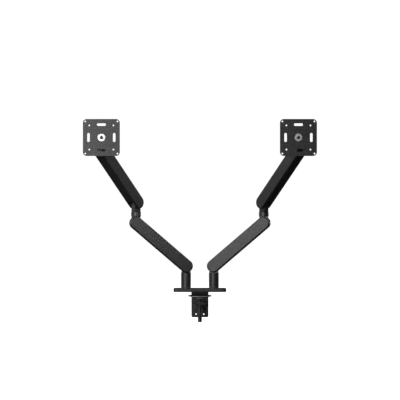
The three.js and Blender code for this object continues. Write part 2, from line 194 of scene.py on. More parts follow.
def turned(name, rings, axis="z", at=(0, 0, 0), sides=64):
    """A turned piece: its first ring filled, then extruded and resized to each next one."""
    radius, height = rings[0]
    deselect()
    bpy.ops.mesh.primitive_circle_add(
        vertices=sides, radius=radius, fill_type="NGON", location=(0, 0, height)
    )
    piece = named(name)
    enter(piece)
    for next_radius, next_height in rings[1:]:
        step = (0, 0, next_height - height)
        bpy.ops.mesh.extrude_region_move(TRANSFORM_OT_translate={"value": step})
        share = next_radius / radius
        bpy.ops.transform.resize(value=(share, share, 1), center_override=(0, 0, next_height))
        radius, height = next_radius, next_height
    leave()
    turn = {"x": Matrix.Rotation(QUARTER, 4, "Y"), "y": Matrix.Rotation(-QUARTER, 4, "X")}
    piece.matrix_world = Matrix.Translation(at) @ turn.get(axis, Matrix.Identity(4))
    bpy.ops.object.transform_apply(location=True, rotation=True, scale=True)
    return outward(piece)


def enter(piece):
    """Opens a piece in edit mode with all of it selected."""
    take(piece)
    bpy.ops.object.mode_set(mode="EDIT")
    bpy.ops.mesh.select_all(action="SELECT")


def leave():
    bpy.ops.object.mode_set(mode="OBJECT")


def outward(piece):
    """Merges doubled points and turns every face outwards."""
    enter(piece)
    bpy.ops.mesh.remove_doubles(threshold=WELD)
    bpy.ops.mesh.normals_make_consistent(inside=False)
    leave()
    return piece


def enter_with(piece, kind, test):
    """Opens a piece in edit mode with only the points, edges or faces that pass a test selected."""
    take(piece)
    bpy.ops.object.mode_set(mode="EDIT")
    bpy.ops.mesh.select_mode(type=kind)
    bpy.ops.mesh.select_all(action="DESELECT")
    bpy.ops.object.mode_set(mode="OBJECT")
    mesh = piece.data
    parts = {"VERT": mesh.vertices, "EDGE": mesh.edges, "FACE": mesh.polygons}[kind]
    for part in parts:
        part.select = test(part)
    bpy.ops.object.mode_set(mode="EDIT")


def round_edges(piece, radius, test, segments=6):
    """Bevels the edges whose two end points pass the test."""
    points = piece.data.vertices

    def chosen(edge):
        start, end = edge.vertices
        return test(points[start].co, points[end].co)

    enter_with(piece, "EDGE", chosen)
    bpy.ops.mesh.bevel(offset=radius, segments=segments, affect="EDGES")
    leave()
    return piece


def round_rim(piece, radius, direction, segments=5):
    """Bevels the rim of the flat faces that look along a direction."""
    direction = Vector(direction)
    enter_with(piece, "FACE", lambda face: face.normal.dot(direction) > 0.99)
    bpy.ops.mesh.bevel(offset=radius, segments=segments, affect="EDGES")
    leave()
    return piece


def long_plate(name, length, radius, low, high, sides=98):
    """A plate with half-round ends about x = 0 and length: a disc with one half pulled along X."""
    deselect()
    bpy.ops.mesh.primitive_cylinder_add(
        vertices=sides,
        radius=radius,
        depth=high - low,
        location=(0, (low + high) / 2, 0),
        rotation=(QUARTER, QUARTER, 0),
    )
    piece = named(name)
    enter_with(piece, "VERT", lambda point: point.co.x > 0)
    bpy.ops.transform.translate(value=(length, 0, 0))
    leave()
    return piece


def arch(name, reach, low, high, foot, pivot, sides=48):
    """A tongue: a disc about the pivot whose lower half is drawn straight down to its foot."""
    piece = bar(name, "y", reach, low, high, at=(0, 0, pivot), sides=sides)
    enter_with(piece, "VERT", lambda point: point.co.z < pivot - HAIR)
    bpy.ops.transform.resize(value=(1, 1, 0), center_override=(0, 0, foot))
    leave()
    return outward(piece)


def round_rectangle(name, low, high, corner, thin):
    """A plate whose four corner edges, along its thin axis, are rounded."""
    piece = block(name, low, high)
    index = "xyz".index(thin)

    def across_the_plate(a, b):
        return abs((a - b)[index]) > HAIR and along(a - b, index)

    return round_edges(piece, corner, across_the_plate, segments=12)


def along(step, index):
    """Whether a step runs along X, Y or Z, by its index."""
    return abs(step[index]) > 0.999 * step.length


def combine(piece, other, operation):
    """Joins or cuts a piece with another, and clears edges and faces of no size that this leaves."""
    take(piece)
    modifier = piece.modifiers.new("combine", "BOOLEAN")
    modifier.operation = operation
    modifier.solver = "EXACT"
    modifier.object = other
    bpy.ops.object.modifier_apply(modifier=modifier.name)
    bpy.data.objects.remove(other)
    enter(piece)
    bpy.ops.mesh.dissolve_degenerate(threshold=WELD)
    leave()
    return piece


def fuse(piece, *others):
    for other in others:
        combine(piece, other, "UNION")
    return piece


def carve(piece, *tools):
    for tool in tools:
        combine(piece, tool, "DIFFERENCE")
    return piece


def soften(piece, radius, segments=2, angle=40):
    """A fine rounding on every sharp edge."""
    take(piece)
    modifier = piece.modifiers.new("soften", "BEVEL")
    modifier.width = radius
    modifier.segments = segments
    modifier.limit_method = "ANGLE"
    modifier.angle_limit = math.radians(angle)
    modifier.miter_outer = "MITER_ARC"
    bpy.ops.object.modifier_apply(modifier=modifier.name)
    return outward(piece)


def settle(piece, place, body, finish, stands_for=None, angle=32):
    """Puts a finished piece where it belongs, smooths it, and gives it its body and finish."""
    take(piece)
    piece.matrix_world = place
    bpy.ops.object.transform_apply(location=True, rotation=True, scale=True)
    bpy.ops.object.shade_smooth_by_angle(angle=math.radians(angle))
    modifier = piece.modifiers.new("weigh", "WEIGHTED_NORMAL")
    modifier.keep_sharp = True
    bpy.ops.object.modifier_apply(modifier=modifier.name)
    material, slot = finish
    piece.data.materials.clear()
    piece.data.materials.append(material)
    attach(piece, body)
    if stands_for:
        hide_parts(stands_for)
    return piece


HERE = Matrix.Identity(4)


# ---------------------------------------------------------------- finishes

# how many pattern cells lie in a metre
BLOTCHES = 34
SPECKS = 320
FLOW_MARKS = 18
SPARK_GRAIN = 3200
METAL_MARKS = 900
FOAM_CELLS = 1100


class Finish:
    """One procedural material: a principled shader with room for grain, blotches and edge wear."""

    def __init__(self, name, roughness, metallic=0.0, specular=0.5):
        self.material = bpy.data.materials.new(name)
        self.material.use_nodes = True
        self.nodes = self.material.node_tree.nodes
        self.links = self.material.node_tree.links
        self.shader = self.nodes["Principled BSDF"]
        self.shader.inputs["Metallic"].default_value = metallic
        self.shader.inputs["Roughness"].default_value = roughness
        self.shader.inputs["Specular IOR Level"].default_value = specular
        self.place = self.nodes.new("ShaderNodeTexCoord").outputs["Object"]

    def noise(self, scale, detail=2.0, stretch=None):
        source = self.place
        if stretch:
            mapping = self.nodes.new("ShaderNodeMapping")
            mapping.inputs["Scale"].default_value = stretch
            self.links.new(source, mapping.inputs["Vector"])
            source = mapping.outputs["Vector"]
        texture = self.nodes.new("ShaderNodeTexNoise")
        texture.inputs["Scale"].default_value = scale
        texture.inputs["Detail"].default_value = detail
        self.links.new(source, texture.inputs["Vector"])
        return texture.outputs["Fac"]

    def ramp(self, value, low, high, start=0.3, end=0.7):
        """Maps a pattern from start to end onto low to high."""
        node = self.nodes.new("ShaderNodeMapRange")
        node.inputs["From Min"].default_value = start
        node.inputs["From Max"].default_value = end
        node.inputs["To Min"].default_value = low
        node.inputs["To Max"].default_value = high
        self.links.new(value, node.inputs["Value"])
        return node.outputs["Result"]

    def mix(self, factor, first, second):
        node = self.nodes.new("ShaderNodeMix")
        node.data_type = "RGBA"
        self.links.new(factor, node.inputs["Factor"])
        for socket, colour in zip((node.inputs["A"], node.inputs["B"]), (first, second)):
            if isinstance(colour, bpy.types.NodeSocket):
                self.links.new(colour, socket)
            else:
                socket.default_value = (*colour, 1)
        return node.outputs["Result"]

    def colour(self, source):
        self.links.new(source, self.shader.inputs["Base Color"])

    def roughness(self, source):
        self.links.new(source, self.shader.inputs["Roughness"])

    def bump(self, height, depth, strength=1.0):
        node = self.nodes.new("ShaderNodeBump")
        node.inputs["Strength"].default_value = strength
        node.inputs["Distance"].default_value = depth
        self.links.new(height, node.inputs["Height"])
        self.links.new(node.outputs["Normal"], self.shader.inputs["Normal"])

    def edges(self, start=0.52, end=0.6):
        """How far a point lies on an outward edge, from 0 to 1."""
        geometry = self.nodes.new("ShaderNodeNewGeometry")
        return self.ramp(geometry.outputs["Pointiness"], 0.0, 1.0, start, end)

    def speckled_sheen(self, roughness):
        """Varies the gloss in specks about 3 mm across."""
        self.roughness(self.ramp(self.noise(SPECKS, 3.0), roughness - 0.07, roughness + 0.09))


def shade(colour, share):
    return tuple(min(1.0, channel * share) for channel in colour)


def powder_coat(name, colour, roughness, grain):
    """Black powder coat: a fine orange-peel grain, faint blotches, and slightly rubbed edges."""
    finish = Finish(name, roughness)
    blotches = finish.ramp(finish.noise(BLOTCHES, 4.0), 0.0, 1.0)
    base = finish.mix(blotches, shade(colour, 0.9), shade(colour, 1.12))
    rubbed = finish.ramp(finish.edges(), 0.0, 0.35, 0.0, 1.0)
    finish.colour(finish.mix(rubbed, base, shade(colour, 2.2)))
    finish.speckled_sheen(roughness)
    finish.bump(finish.noise(grain, 2.0), depth=0.05 * MM, strength=0.35)
    return finish.material


def moulded_plastic(name, colour, roughness):
    """Spark-textured black plastic: a dense fine grain and an even, dry sheen."""
    finish = Finish(name, roughness, specular=0.45)
    flow = finish.ramp(finish.noise(FLOW_MARKS, 2.0, stretch=(1.0, 1.0, 0.35)), 0.0, 1.0)
    finish.colour(finish.mix(flow, shade(colour, 0.94), shade(colour, 1.08)))
    finish.speckled_sheen(roughness)
    finish.bump(finish.noise(SPARK_GRAIN, 1.0), depth=0.03 * MM, strength=0.4)
    return finish.material


def bare_metal(name, colour, roughness, stretch):
    """Plated or ground steel, with fine marks drawn out along one way."""
    finish = Finish(name, roughness, metallic=1.0)
    marks = finish.noise(METAL_MARKS, 3.0, stretch=stretch)
    share = finish.ramp(marks, 0.0, 1.0)
    finish.colour(finish.mix(share, shade(colour, 0.88), shade(colour, 1.05)))
    finish.roughness(finish.ramp(marks, roughness - 0.06, roughness + 0.1))
    finish.bump(marks, depth=0.01 * MM, strength=0.3)
    return finish.material


def foam_rubber(name, colour):
    """Dense black foam, pitted all over, with painted shade: each pit is darker in colour towards its
    bottom.
    """
    finish = Finish(name, 0.9, specular=0.25)
    cells = finish.nodes.new("ShaderNodeTexVoronoi")
    cells.inputs["Scale"].default_value = FOAM_CELLS
    finish.links.new(finish.place, cells.inputs["Vector"])
    pits = cells.outputs["Distance"]
    # painted shade: the colour falls to 0.6 of the foam's own towards the bottom of each pit, where
    # shade would fall
    depth = finish.ramp(pits, 0.0, 1.0, 0.0, 0.8)
    finish.colour(finish.mix(depth, shade(colour, 0.6), shade(colour, 1.2)))
    finish.bump(pits, depth=0.12 * MM, strength=0.6)
    return finish.material


def nylon(name, colour):
    """Pale, slightly waxy bearing plastic."""
    finish = Finish(name, 0.42)
    clouds = finish.noise(120, 2.0)
    finish.colour(finish.mix(finish.ramp(clouds, 0.0, 1.0), shade(colour, 0.94), colour))
    finish.bump(finish.noise(1500, 1.0), depth=0.01 * MM, strength=0.2)
    return finish.material


FINISHES = {}
SLOTS = {
    "cast": "cast",
    "cover": "cover",
    "steel": "black_steel",
    "bolt": "black_steel",
    "zinc": "zinc",
    "chrome": "zinc",
    "disc": "cast",
    "foam": "rubber",
    "nylon": "cover",
}


def finish(key):
    """The material and record slot of a finish, made on its first use."""
    if key not in FINISHES:
        looks = bpy.context.scene.monitor_arm_looks
        cast, cover, steel = looks.cast_colour, looks.cover_colour, looks.steel_colour
        zinc = looks.zinc_colour
        recipes = {
            "cast": (powder_coat, "cast_black", cast, looks.cast_roughness, 1500),
            "cover": (moulded_plastic, "cover_black", cover, looks.cover_roughness),
            "steel": (powder_coat, "steel_black", steel, looks.steel_roughness, 2200),
            "bolt": (powder_coat, "bolt_black", steel, 0.38, 3500),
            "zinc": (bare_metal, "zinc_plate", zinc, 0.34, (1, 1, 0.2)),
            "chrome": (bare_metal, "chrome_rod", zinc, 0.14, (1, 1, 0.1)),
            # painted highlight: the press disc gets a much lighter copy of the cast black coat, so
            # that its rim shows bright
            "disc": (powder_coat, "disc_grey", looks.disc_painted_highlight_colour, 0.45, 1800),
            "foam": (foam_rubber, "foam_black", looks.rubber_colour),
            "nylon": (nylon, "bush_grey", looks.bush_colour),
        }
        recipe, *values = recipes[key]
        FINISHES[key] = recipe(*values), SLOTS[key]
    return FINISHES[key]


# ---------------------------------------------------------------- sizes and looks

def length_property(name, description, default_mm):
    default = default_mm * MM
    return bpy.props.FloatProperty(
        name=name, description=description, default=default, min=0, unit="LENGTH", precision=5
    )


def colour_property(name, description, default):
    return bpy.props.FloatVectorProperty(
        name=name, description=description, default=default, subtype="COLOR", size=3, min=0, max=1
    )


def share_property(name, description, default):
    return bpy.props.FloatProperty(
        name=name, description=description, default=default, min=0, max=1, subtype="FACTOR"
    )


def power_property(name, description, default):
    return bpy.props.FloatProperty(
        name=name, description=description, default=default, unit="POWER"
    )


class MonitorArmSizes(bpy.types.PropertyGroup):
    """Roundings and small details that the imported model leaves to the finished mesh."""

    fine_edge: length_property("Fine Edge", "Rounding on machined and bent edges", 0.4)
    cast_edge: length_property("Cast Edge", "Rounding on cast collars and tongues", 0.9)
    cover_edge: length_property("Cover Edge", "Rounding of the side covers' outer rims", 3.3)
    base_corner: length_property("Base Corner", "Corner radius of the base plate", 10)
    base_edge: length_property("Base Edge", "Rounding round the top of the base plate", 1.0)
    bend: length_property("Bend", "Outer radius where the clamp's plates are bent", 5)
    leg_corner: length_property("Leg Corner", "Corner radius at the foot of the clamp bracket", 5)
    thread_pitch: length_property("Thread Pitch", "Pitch of the clamp screw's thread", 1.75)
    thread_depth: length_property("Thread Depth", "Depth of the clamp screw's thread", 0.5)
    pad: length_property("Pad", "Thickness of the soft pad on the press disc", 1.5)
    plate_corner: length_property("Plate Corner", "Corner radius of a screen plate", 12)
    wall: length_property("Wall", "Thickness of an arm channel's side walls", 2.5)
    web: length_property("Web", "Thickness of an arm channel's top and bottom", 3)


class MonitorArmLooks(bpy.types.PropertyGroup):
    """Colours and gloss of the finishes."""

    cast_colour: colour_property("Cast", "Powder coat on the castings", (0.016, 0.016, 0.017))
    cover_colour: colour_property("Covers", "Moulded side covers", (0.017, 0.017, 0.018))
    steel_colour: colour_property("Steel", "Coated steel of clamp and plates", (0.014, 0.014, 0.015))
    # painted highlight: about twenty times lighter than the cast coat it copies, so that the disc's
    # rim shows bright
    disc_painted_highlight_colour: colour_property("Disc", "Coat on the press disc", (0.34, 0.34, 0.35))
    zinc_colour: colour_property("Zinc", "Plated pins and rods", (0.60, 0.61, 0.62))
    rubber_colour: colour_property("Rubber", "Foam pads", (0.010, 0.010, 0.010))
    bush_colour: colour_property("Bushes", "Nylon bushes and washers", (0.30, 0.30, 0.29))
    cast_roughness: share_property("Cast Roughness", "Roughness of the castings' coat", 0.37)
    cover_roughness: share_property("Cover Roughness", "Roughness of the moulded covers", 0.40)
    steel_roughness: share_property("Steel Roughness", "Roughness of the coated steel", 0.38)


def sizes():
    return bpy.context.scene.monitor_arm_sizes


# ---------------------------------------------------------------- base and clamp

RUNNING_GAP = 0.3 * MM
# parts of the post foot's radius
SPIGOT_SHARE = 0.375
CORE_SHARE = 0.625


def bracket_room():
    """The space that the clamp bracket's flange needs in the base, open to the back and below."""
    low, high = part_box("clamp_bracket")
    base_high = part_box("base_plate")[1]
    low = Vector((low.x - RUNNING_GAP, low.y - RUNNING_GAP, -MM))
    high = Vector((high.x + RUNNING_GAP, base_high.y + MM, high.z + RUNNING_GAP))
    return low, high


def make_base_plate():
    low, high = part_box("base_plate")
    plate = round_rectangle("base_plate_shell", low, high, sizes().base_corner, "z")
    carve(plate, block("room", *bracket_room()))
    round_rim(plate, sizes().base_edge, (0, 0, 1), segments=4)
    for side in SIDES:
        spigot = SPIGOT_SHARE * extent(f"{side}_post_pin", post_place(side))[1].x
        x, y, _ = joint_point(f"{side}_post_yaw")
        carve(plate, bar("hole", "z", spigot + RUNNING_GAP, 0, high.z + MM, at=(x, y, 0)))
    soften(plate, 0.25 * MM)
    settle(plate, HERE, "root", finish("cast"), "base_plate")


def make_base_pad():
    low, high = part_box("base_pad")
    pad = round_rectangle("base_foam_pad", low, high, sizes().base_corner - MM, "z")
    carve(pad, block("room", *bracket_room()))
    soften(pad, 0.3 * MM)
    settle(pad, HERE, "root", finish("foam"), "base_pad")


def bent_plate(name, leg_low, leg_high, shelf_front, thick, bend_at_top):
    """A leg with one end drawn forward into a shelf, and the bend rounded inside and out."""
    plate = block(name, leg_low, leg_high)
    shelf_z = leg_high.z - thick if bend_at_top else leg_low.z + thick
    enter_with(plate, "FACE", lambda face: True)
    bpy.ops.mesh.bisect(plane_co=(0, 0, shelf_z), plane_no=(0, 0, 1))
    leave()

    def on_shelf(face):
        above = face.center.z > shelf_z
        return face.normal.y < -0.9 and above == bend_at_top

    enter_with(plate, "FACE", on_shelf)
    reach = shelf_front - leg_low.y
    bpy.ops.mesh.extrude_region_move(TRANSFORM_OT_translate={"value": (0, reach, 0)})
    leave()
    outer_z = leg_high.z if bend_at_top else leg_low.z

    def at(y, z):
        return lambda a, b: all(abs(p.y - y) < HAIR and abs(p.z - z) < HAIR for p in (a, b))

    round_edges(plate, sizes().bend, at(leg_high.y, outer_z), segments=8)
    round_edges(plate, sizes().bend - thick, at(leg_low.y, shelf_z), segments=4)
    return plate


def bolt_centres():
    """The x places and the height of the two bolts that join the jaw to the bracket."""
    boxes = [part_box(f"jaw_bolt_{side}") for side in SIDES]
    low, high = boxes[0]
    return [(low.x + high.x) / 2 for low, high in boxes], (low.z + high.z) / 2


BRACKET_THICK = 4 * MM
BOLT_HOLE = 3 * MM
BOLT_SHANK = 2.7 * MM
BOSS_WALL = 4.5 * MM
BOSS_HEIGHT = 7 * MM
JAW_CORNER = 3 * MM
SPARE_HOLE = 2.1 * MM
SPARE_HOLE_DROP = 20.2 * MM


def make_bracket():
    low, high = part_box("clamp_bracket")
    leg_low = Vector((low.x, high.y - BRACKET_THICK, low.z))
    plate = bent_plate("clamp_bracket_plate", leg_low, high, low.y, BRACKET_THICK, True)

    def foot_corner(a, b):
        return max(a.z, b.z) < low.z + HAIR and along(a - b, 1)

    round_edges(plate, sizes().leg_corner, foot_corner, segments=8)
    places, height = bolt_centres()
    for x in places:
        for z, radius in ((height, BOLT_HOLE), (height - SPARE_HOLE_DROP, SPARE_HOLE)):
            hole = bar("hole", "y", radius, leg_low.y - MM, high.y + MM, at=(x, 0, z), sides=32)
            carve(plate, hole)
    soften(plate, sizes().fine_edge)
    settle(plate, HERE, "root", finish("steel"), "clamp_bracket")


def make_jaw():
    low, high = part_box("clamp_jaw")
    leg_low = Vector((low.x, high.y - BRACKET_THICK, low.z))
    plate = bent_plate("clamp_jaw_plate", leg_low, high, low.y, BRACKET_THICK, True)
    screw_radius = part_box("clamp_screw")[1].x
    boss_radius = screw_radius + BOSS_WALL
    underside = high.z - BRACKET_THICK
    boss_bottom = underside - BOSS_HEIGHT
    boss = turned("boss", [
        (boss_radius - 0.8 * MM, boss_bottom),
        (boss_radius, boss_bottom + 0.8 * MM),
        (boss_radius, underside - 1.2 * MM),
        (boss_radius + 1.2 * MM, underside + 0.1 * MM),
        (boss_radius + 1.2 * MM, high.z - BRACKET_THICK / 2),
    ])
    fuse(plate, boss)
    thread_radius = screw_radius + RUNNING_GAP
    carve(plate, bar("thread", "z", thread_radius, boss_bottom - MM, high.z + MM, sides=64))
    places, height = bolt_centres()
    for x in places:
        hole = bar("hole", "y", BOLT_HOLE, leg_low.y - MM, high.y + MM, at=(x, 0, height), sides=32)
        carve(plate, hole)

    def front_corner(a, b):
        return along(a - b, 2) and max(a.y, b.y) < low.y + HAIR

    round_edges(plate, JAW_CORNER, front_corner)
    soften(plate, sizes().fine_edge)
    settle(plate, HERE, "root", finish("steel"), "clamp_jaw")


def socket_bolt(name, head_radius, head_height, shank_radius, shank_length):
    """A button-head bolt along +Z: head below z = 0, hexagon socket in it, shank above."""
    dome = 0.62
    bolt = turned(name, [
        (head_radius * dome, -head_height),
        (head_radius * 0.82, -head_height * 0.86),
        (head_radius * 0.95, -head_height * 0.52),
        (head_radius, -head_height * 0.2),
        (head_radius, 0),
        (shank_radius, 0),
        (shank_radius, shank_length - 0.5 * MM),
        (shank_radius - 0.5 * MM, shank_length),
    ], sides=40)
    socket_radius = head_radius * 0.42
    carve(bolt, bar("socket", "z", socket_radius, -head_height - MM, -head_height * 0.4, sides=6))
    return soften(bolt, 0.12 * MM)


def make_jaw_bolts():
    for side in SIDES:
        low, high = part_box(f"jaw_bolt_{side}")
        jaw_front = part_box("clamp_jaw")[1].y - BRACKET_THICK - RUNNING_GAP
        bolt = socket_bolt(
            f"jaw_button_bolt_{side}",
            head_radius=high.x / 2 - low.x / 2,
            head_height=jaw_front - low.y,
            shank_radius=BOLT_SHANK,
            shank_length=high.y - jaw_front,
        )
        centre = Vector(((low.x + high.x) / 2, jaw_front, (low.z + high.z) / 2))
        place = Matrix.Translation(centre) @ Matrix.Rotation(-QUARTER, 4, "X")
        settle(bolt, place, "root", finish("bolt"), f"jaw_bolt_{side}")


def make_bracket_screws():
    """Two countersunk screws that hold the bracket's flange up into the base plate."""
    low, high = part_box("clamp_bracket")
    flange_bottom = high.z - BRACKET_THICK
    head = 4.6 * MM
    shank = 2.4 * MM
    for side, direction in SIDES.items():
        at = (direction * 17 * MM, low.y + 14 * MM, 0)
        screw = turned(f"bracket_screw_{side}", [
            (head, flange_bottom - 0.05 * MM),
            (head, flange_bottom + 0.3 * MM),
            (shank, flange_bottom + 2.6 * MM),
            (shank, high.z + 1.5 * MM),
        ], at=at, sides=32)
        socket_top = flange_bottom + 1.4 * MM
        carve(screw, bar("socket", "z", 1.7 * MM, flange_bottom - MM, socket_top, at=at, sides=6))
        settle(screw, HERE, "root", finish("zinc"))


class MONITORARM_OT_base(bpy.types.Operator):
    """Models the base plate and the foam pad under it"""

    bl_idname = "monitor_arm.base"
    bl_label = "Base"

    def execute(self, context):
        make_base_plate()
        make_base_pad()
        return {"FINISHED"}


class MONITORARM_OT_clamp(bpy.types.Operator):
    """Models the clamp bracket, its jaw and their screws"""

    bl_idname = "monitor_arm.clamp"
    bl_label = "Clamp"

    def execute(self, context):
        make_bracket()
        make_jaw()
        make_jaw_bolts()
        make_bracket_screws()
        return {"FINISHED"}


# ---------------------------------------------------------------- clamp screw and press disc

RINGS_PER_TURN = 6
# the stem's radius as a part of the screw's
STEM_SHARE = 0.75


def cut_thread(shaft, low, high, radius):
    """Divides a shaft into fine rings and draws each point in by how deep the thread is there."""
    pitch = sizes().thread_pitch
    depth = sizes().thread_depth
    points = shaft.data.vertices

    def runs_down_the_shaft(edge):
        start, end = edge.vertices
        step = points[start].co - points[end].co
        return along(step, 2) and step.length > (high - low) * 0.9

    enter_with(shaft, "EDGE", runs_down_the_shaft)
    bpy.ops.mesh.subdivide(number_cuts=round((high - low) / pitch * RINGS_PER_TURN))
    leave()
    run_out = 2 * pitch
    for point in shaft.data.vertices:
        x, y, z = point.co
        reach = math.hypot(x, y)
        if reach < radius * 0.98:
            continue
        turn = (z / pitch - math.atan2(y, x) / math.tau) % 1
        groove = 1 - abs(2 * turn - 1)
        groove = min(1.0, groove * 1.25)
        near_end = min(1.0, (high - z) / run_out)
        share = 1 - depth * groove * max(0.0, near_end) / reach
        point.co = (x * share, y * share, z)


def make_clamp_screw():
    low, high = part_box("clamp_screw")
    radius = high.x
    disc_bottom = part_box("press_disc")[0].z
    shoulder = disc_bottom - MM
    stem = STEM_SHARE * radius
    shaft = turned("clamp_screw_shaft", [
        (radius - 1.2 * MM, low.z),
        (radius - 0.2 * MM, low.z + 1.2 * MM),
        (radius, low.z + 1.4 * MM),
        (radius, shoulder),
        (stem, shoulder + 0.5 * MM),
        (stem, high.z),
    ], sides=48)
    carve(shaft, bar("socket", "z", 3.5 * MM, low.z - MM, low.z + 8 * MM, sides=6))
    cut_thread(shaft, low.z + 1.4 * MM, shoulder, radius)
    settle(outward(shaft), HERE, "screw", finish("bolt"), "clamp_screw", angle=50)


def make_press_disc():
    low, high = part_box("press_disc")
    radius = high.x
    pad = sizes().pad
    top = high.z - pad
    hub = 13 * MM
    rim = 3 * MM - pad
    screw_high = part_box("clamp_screw")[1]
    bore = STEM_SHARE * screw_high.x + 0.4 * MM
    socket_top = screw_high.z + 0.4 * MM
    disc = turned("press_disc_casting", [
        (bore, socket_top),
        (bore, low.z),
        (hub - 0.6 * MM, low.z),
        (hub, low.z + 0.6 * MM),
        (hub, low.z + 2 * MM),
        (hub + 3 * MM, low.z + 3.2 * MM),
        (radius - 1.2 * MM, top - rim - 0.9 * MM),
        (radius, top - rim),
        (radius, top - 0.4 * MM),
        (radius - 0.4 * MM, top),
    ], sides=96)
    ribs = 8
    half_rib = 1.1 * MM
    for turn in range(ribs):
        rib_low = (hub - MM, -half_rib, low.z + 2.2 * MM)
        rib = block("rib", rib_low, (radius - 5 * MM, half_rib, top - MM))
        enter_with(rib, "VERT", lambda point: point.co.x > hub and point.co.z < top - 2 * MM)
        bpy.ops.transform.translate(value=(0, 0, 4.2 * MM))
        leave()
        rib.data.transform(Matrix.Rotation(math.tau * turn / ribs, 4, "Z"))
        fuse(disc, rib)
    soften(disc, 0.15 * MM, segments=1)
    settle(disc, HERE, "disc_slider", finish("disc"), "press_disc")
    cushion = turned("press_disc_pad", [
        (radius - 1.6 * MM, top + 0.02 * MM),
        (radius - 0.8 * MM, top + 0.3 * MM),
        (radius - 0.8 * MM, high.z - 0.5 * MM),
        (radius - 1.3 * MM, high.z),
    ], sides=96)
    settle(cushion, HERE, "disc_slider", finish("foam"))


class MONITORARM_OT_clamp_screw(bpy.types.Operator):
    """Models the clamp screw with its thread, and the press disc with its pad"""

    bl_idname = "monitor_arm.clamp_screw"
    bl_label = "Clamp Screw"

    def execute(self, context):
        make_clamp_screw()
        make_press_disc()
        return {"FINISHED"}


# ---------------------------------------------------------------- posts

PIN_HOLE = 4.4 * MM
TONGUE_HALF = 8.3 * MM
TONGUE_REACH = 13.5 * MM
COLLAR_RADIUS = 16 * MM
POST_BORE = 10.4 * MM
FRICTION_SCREW = 2.4 * MM
FRICTION_SCREW_RISE = 12 * MM


def make_tongue(foot, pivot):
    """The flat tongue that an arm turns on, a little rounded all over."""
    tongue = arch("tongue", TONGUE_REACH, -TONGUE_HALF, TONGUE_HALF, foot, pivot)
    return soften(tongue, sizes().cast_edge)


def link_step():
    """From an arm's pivot to the parallel link's pivot, along the tongue's own axes."""
    gap = joint_point("left_lower_link_swing") - joint_point("left_lower_lift")
    across = across_of("left_lower_lift")
    return Vector((gap.dot(across.cross(UP)), 0, gap.z))


def pivot_hole(height=0):
    """What is cut from a tongue for the pivot pin."""
    return bar("hole", "y", PIN_HOLE, -TONGUE_HALF - MM, TONGUE_HALF + MM, at=(0, 0, height))


def trunnion(pivot_z, half):
    """The short pin, with a chamfered end, that carries one end of a parallel link."""
    step = link_step()
    end = half + 2.6 * MM
    radius = 1.5 * MM
    return turned("trunnion", [
        (radius, half - MM),
        (radius, end - 0.3 * MM),
        (radius - 0.3 * MM, end),
    ], axis="y", at=(step.x, 0, pivot_z + step.z), sides=24)


def make_post_pin(side):
    place = post_place(side)
    low, high = extent(f"{side}_post_pin", place)
    radius = high.x
    spigot = SPIGOT_SHARE * radius
    core = CORE_SHARE * radius
    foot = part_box("base_plate")[1].z + RUNNING_GAP
    pin = turned(f"{side}_post_core", [
        (spigot, low.z),
        (spigot, foot),
        (radius - 0.3 * MM, foot),
        (radius, foot + 0.3 * MM),
        (radius, foot + 1.5 * MM),
        (radius - 0.5 * MM, foot + 2 * MM),
        (core, foot + 2 * MM),
        (core, high.z - MM),
        (core - MM, high.z),
    ])
    settle(pin, place, "root", finish("steel"), f"{side}_post_pin")


def make_post_bush(side):
    """The thin nylon ring that the sleeve turns on."""
    place = post_place(side)
    sleeve_bottom = extent(f"{side}_post_sleeve", place)[0].z
    foot_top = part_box("base_plate")[1].z + RUNNING_GAP + 2 * MM
    bottom = foot_top + 0.02 * MM
    top = sleeve_bottom - 0.03 * MM
    outer = COLLAR_RADIUS - 0.7 * MM
    inner = POST_BORE - 0.2 * MM
    rings = [(outer, bottom), (outer, top), (inner, top), (inner, bottom)]
    ring = turned(f"{side}_post_bush", rings)
    settle(ring, place, "root", finish("nylon"))


def make_post_sleeve(side):
    place = post_place(side)
    low = extent(f"{side}_post_sleeve", place)[0]
    radius = COLLAR_RADIUS
    pivot = joint_point(f"{side}_lower_lift").z
    top = pivot - 21 * MM
    sleeve = turned(f"{side}_post_tube", [
        (POST_BORE, top - 7.6 * MM),
        (POST_BORE, low.z),
        (radius - 0.6 * MM, low.z),
        (radius, low.z + 0.6 * MM),
        (radius, top - 1.6 * MM),
        (radius - 0.5 * MM, top - 0.5 * MM),
        (radius - 1.6 * MM, top),
    ], sides=96)
    fuse(sleeve, make_tongue(top - 3 * MM, pivot))
    carve(sleeve, pivot_hole(pivot))
    fuse(sleeve, trunnion(pivot, TONGUE_HALF))
    back = SIDES[side] * 20 * MM
    at = (0, 0, low.z + FRICTION_SCREW_RISE)
    seat = FRICTION_SCREW + 0.2 * MM
    carve(sleeve, bar("seat", "y", seat, min(0, back), max(0, back), at=at, sides=32))
    settle(sleeve, place, f"{side}_turret", finish("cast"), f"{side}_post_sleeve")


def make_friction_screw(side):
    """The grub screw in the sleeve's back, which sets how stiffly the arm turns on its post."""
    place = post_place(side)
    low = extent(f"{side}_post_sleeve", place)[0]
    tip, end = 10.6 * MM, 15 * MM
    screw = bar(f"{side}_friction_screw", "y", FRICTION_SCREW, tip, end, sides=32)
    carve(screw, bar("socket", "y", 1.35 * MM, tip + 2 * MM, end + 2 * MM, sides=6))
    soften(screw, 0.2 * MM)
    if side == "left":
        screw.data.transform(Matrix.Rotation(math.pi, 4, "Z"))
    screw.data.transform(Matrix.Translation((0, 0, low.z + FRICTION_SCREW_RISE)))
    settle(screw, place, f"{side}_turret", finish("zinc"))


class MONITORARM_OT_posts(bpy.types.Operator):
    """Models both posts: fixed core, bush, turning sleeve and friction screw"""

    bl_idname = "monitor_arm.posts"
    bl_label = "Posts"

    def execute(self, context):
        for side in SIDES:
            make_post_pin(side)
            make_post_bush(side)
            make_post_sleeve(side)
            make_friction_screw(side)
        return {"FINISHED"}


# ---------------------------------------------------------------- arms

STAGES = ("lower", "upper")
MOUTH = 22.5 * MM
MOUTH_RISE = 10 * MM


